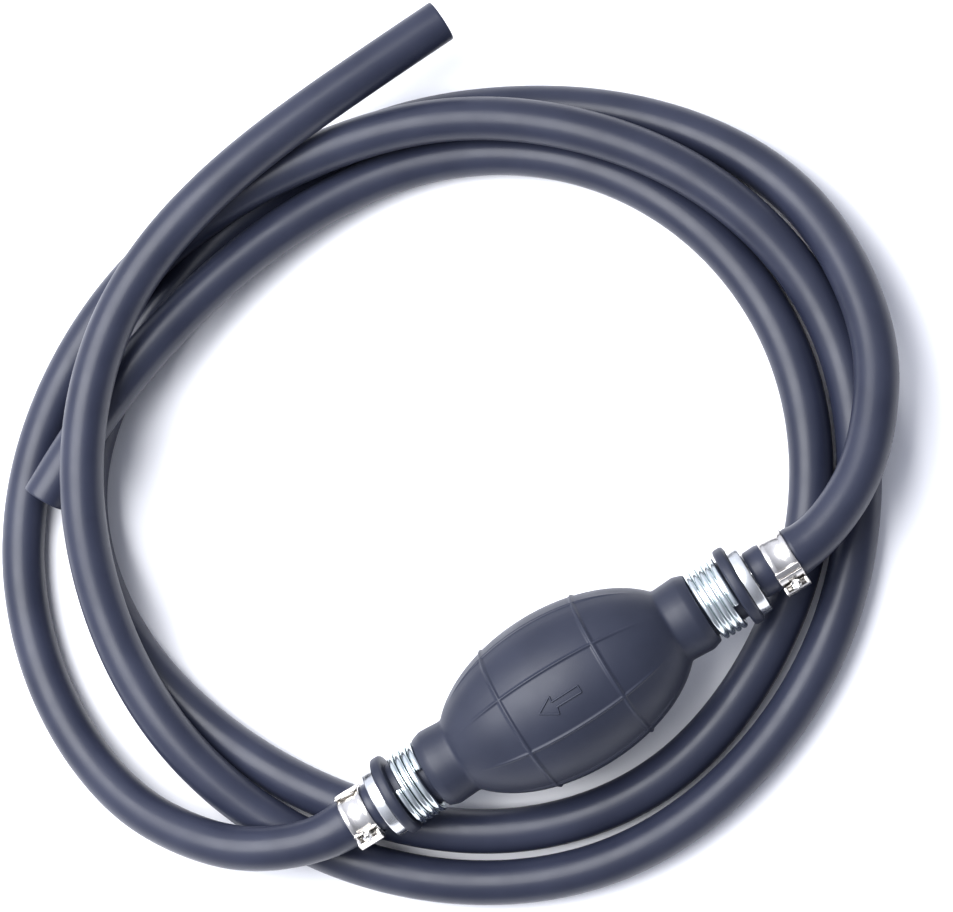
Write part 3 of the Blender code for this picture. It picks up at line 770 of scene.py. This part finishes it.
def drilled(made, cutter):
    """Takes the cutter away from the piece."""
    cutter.hide_render = True
    cutter.display_type = "WIRE"
    hole = made.modifiers.new(cutter.name, "BOOLEAN")
    hole.operation = "DIFFERENCE"
    hole.solver = "EXACT"
    hole.object = cutter


def rod(name, radius, run, transform, look, sides):
    """A closed cylinder on the screw's axis, from the run's start to its end, sizes in mm."""
    low, high = run
    shape = bmesh.new()
    place = Matrix.Translation((0, (low + high) / 2 * MM, SCREW_AXIS_RADIUS * MM))
    bmesh.ops.create_cone(shape, cap_ends=True, segments=sides, radius1=radius * MM, radius2=radius * MM,
                          depth=(high - low) * MM, matrix=place @ Matrix.Rotation(math.pi / 2, 4, "X"))
    shape.transform(transform)
    return piece(name, shape, look)


def make_housing(end):
    """The block that holds the screw, open at the head's end, and the folds of its saddle."""
    place = housing_frame(end)
    block = prism(f"{end}_housing", HOUSING_OUTLINE, HOUSING_HALF_WIDTH, place, STAINLESS)
    crisp(block, 0.35 * MM, segments=3)
    drilled(block, prism(f"{end}_housing_pocket", POCKET_OUTLINE, POCKET_HALF_WIDTH, place, STAINLESS))
    stand_for(block, "pump", "stainless", f"{end}_clamp_housing")
    for number, arc in enumerate(SADDLE_FOLDS[end]):
        make_fold(f"{end}_saddle_{number}", middle(f"{end}_clamp_band", 0), arc)


def make_fold(name, centre_x, arc):
    """A raised strip across the band, between two angles in degrees."""
    rings = [[arc_point(centre_x + u * MM, angle, radius * MM) for u, radius in FOLD_OUTLINE]
             for angle in np.radians(np.linspace(*arc, 5))]
    shape = bmesh.new()
    capped_skin(shape, rings)
    fold = piece(name, shape, STAINLESS)
    crisp(fold, 0.15 * MM)
    stand_for(fold, "pump", "stainless")


def recess_cutter(name, half_x, half_z, transform):
    """A box that cuts one bar of the head's cross recess, its half sizes in mm."""
    start, end = RECESS_RUN
    low = Vector((-half_x, start, SCREW_AXIS_RADIUS - half_z))
    high = Vector((half_x, end, SCREW_AXIS_RADIUS + half_z))
    matrix = Matrix.Translation((low + high) / 2 * MM) @ Matrix.Diagonal((*((high - low) * MM), 1))
    shape = bmesh.new()
    bmesh.ops.create_cube(shape, size=1, matrix=matrix)
    shape.transform(transform)
    return piece(name, shape, SCREW_STEEL, smooth=False)


def make_screw(end):
    """A hexagon head screw with a cross recess, its worm in the housing."""
    place = housing_frame(end)
    worm = rod(f"{end}_worm", WORM_RADIUS, WORM_RUN, place, SCREW_STEEL, sides=24)
    stand_for(worm, f"{end}_screw", "stainless")
    head = rod(f"{end}_screw_head", HEAD_RADIUS, HEAD_RUN, place, SCREW_STEEL, sides=6)
    drilled(head, recess_cutter(f"{end}_recess_0", RECESS_SHORT, RECESS_LONG, place))
    drilled(head, recess_cutter(f"{end}_recess_1", RECESS_LONG, RECESS_SHORT, place))
    crisp(head, 0.2 * MM)
    stand_for(head, f"{end}_screw", "stainless", f"{end}_clamp_screw")


# The stage and its light


def make_floor():
    shape = bmesh.new()
    bmesh.ops.create_grid(shape, x_segments=1, y_segments=1, size=FLOOR_HALF_SIZE)
    look, _, _, shader = shader_of("floor")
    shader.inputs["Base Color"].default_value = FLOOR_COLOR
    shader.inputs["Roughness"].default_value = 0.7
    floor = piece("floor", shape, look)


def make_key_light():
    data = bpy.data.lights.new("key", "AREA")
    data.shape = "RECTANGLE"
    data.size = KEY_SIZE
    data.size_y = KEY_SIZE
    data.energy = KEY_WATTS
    data.color = KEY_COLOR
    made = bpy.data.objects.new("key", data)
    made.location = KEY_PLACE
    made.rotation_euler = (Vector(KEY_AIM) - Vector(KEY_PLACE)).to_track_quat("-Z", "Y").to_euler()
    bpy.context.scene.collection.objects.link(made)


def make_world():
    """A pale room, brightest above and behind the bulb on its outlet's side."""
    world = bpy.data.worlds.new("studio")
    world.use_nodes = True
    nodes, links = world.node_tree.nodes, world.node_tree.links
    toward = nodes.new("ShaderNodeVectorMath")
    toward.operation = "DOT_PRODUCT"
    toward.inputs[1].default_value = BRIGHT_SIDE
    links.new(nodes.new("ShaderNodeTexCoord").outputs["Generated"], toward.inputs[0])
    strength = ramp(nodes, links, toward.outputs["Value"], ROOM_DIM, ROOM_BRIGHT, *ROOM_RANGE)
    background = nodes["Background"]
    background.inputs["Color"].default_value = ROOM_COLOR
    links.new(strength, background.inputs["Strength"])
    bpy.context.scene.world = world


def make_studio():
    make_floor()
    make_world()
    make_key_light()
    bpy.context.scene.view_settings.view_transform = "Standard"


make_camera()
for end in SIDES:
    make_hose(end)
make_bulb()
make_coil_clamps()
make_springs()
make_fittings()
dress_valve_insides()
for end in SIDES:
    make_band(end)
    make_band_tail(end)
    make_housing(end)
    make_screw(end)
make_studio()
